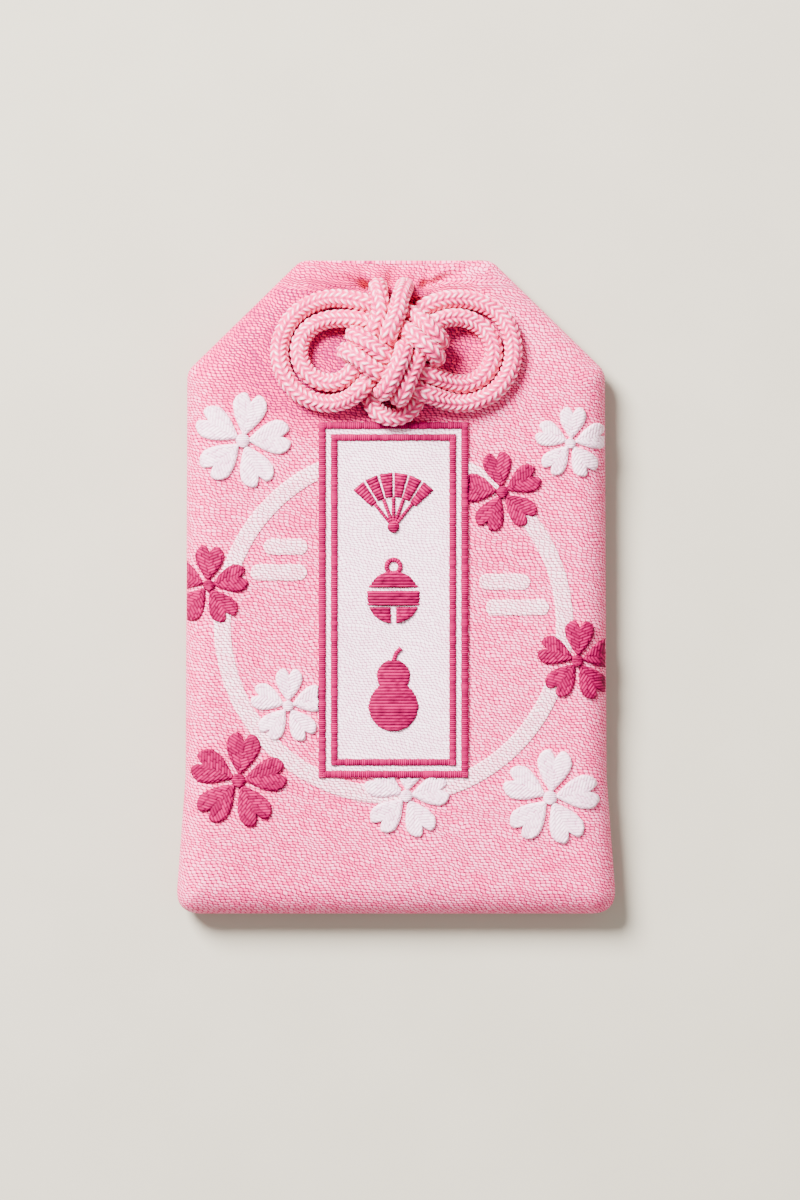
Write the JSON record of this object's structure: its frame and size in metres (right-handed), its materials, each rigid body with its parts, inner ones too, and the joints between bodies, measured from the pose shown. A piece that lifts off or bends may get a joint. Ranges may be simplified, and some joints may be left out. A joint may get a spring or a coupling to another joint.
{
  "type": "charm pouch",
  "caption": "Flat brocade charm pouch with embroidered front, slanted top corners, inner paper slip and a knotted cord that lifts off the front.",
  "frame": {"origin": "under the middle of the pouch, on the surface that its flat back lies on", "axes": "+X to the right of the embroidered front, +Y towards the mouth and the knot, +Z out of the front"},
  "size_m": [0.051, 0.076, 0.0134],
  "materials": {
    "brocade": "woven satin",
    "lining": "plain weave",
    "white_stitch": "satin stitch",
    "magenta_stitch": "satin stitch",
    "cord": "braided silk",
    "paper": "plain paper",
    "card": "pressed card",
    "wool": "soft wadding",
    "slip": "planed"
  },
  "bodies": {
    "pouch": {"back_panel": "brocade", "front_panel": "brocade", "front_lining": "lining", "back_lining": "lining", "stiffener_card": "card", "wadding_pad": "wool", "left_corner_fold": "brocade", "right_corner_fold": "brocade", "seam_thread": "brocade", "cord_span": "cord", "plaque_ground": "white_stitch", "plaque_outer_border": "magenta_stitch", "plaque_inner_border": "magenta_stitch", "plaque_fan": "magenta_stitch", "plaque_bell": "magenta_stitch", "plaque_gourd": "magenta_stitch", "white_blossom_upper_left": "white_stitch", "white_blossom_upper_right": "white_stitch", "white_blossom_lower_left": "white_stitch", "white_blossom_foot": "white_stitch", "white_blossom_lower_right": "white_stitch", "magenta_blossom_left_edge": "magenta_stitch", "magenta_blossom_upper_right": "magenta_stitch", "magenta_blossom_right_edge": "magenta_stitch", "magenta_blossom_lower_left": "magenta_stitch", "mist_band_left_upper": "white_stitch", "mist_band_left_lower": "white_stitch", "mist_band_right_upper": "white_stitch", "mist_band_right_lower": "white_stitch", "ring_arc_1": "white_stitch", "ring_arc_2": "white_stitch", "ring_arc_3": "white_stitch", "ring_arc_4": "white_stitch", "ring_arc_5": "white_stitch"},
    "talisman": {"talisman_slip": "slip", "talisman_wrapper": "paper", "wrapper_band": "magenta_stitch"},
    "knot": {"knot_cord": "cord"}
  },
  "joints": [
    {"name": "knot_swing", "type": "hinge", "parent": "pouch", "child": "knot", "pos_m": [-0.00055, 0.0351, 0.00607], "axis": [-1, 0, 0], "range_deg": [0, 110]},
    {"name": "talisman_slide", "type": "slide", "parent": "pouch", "child": "talisman", "axis": [0, 1, 0], "range_m": [0, 0.0015]}
  ]
}
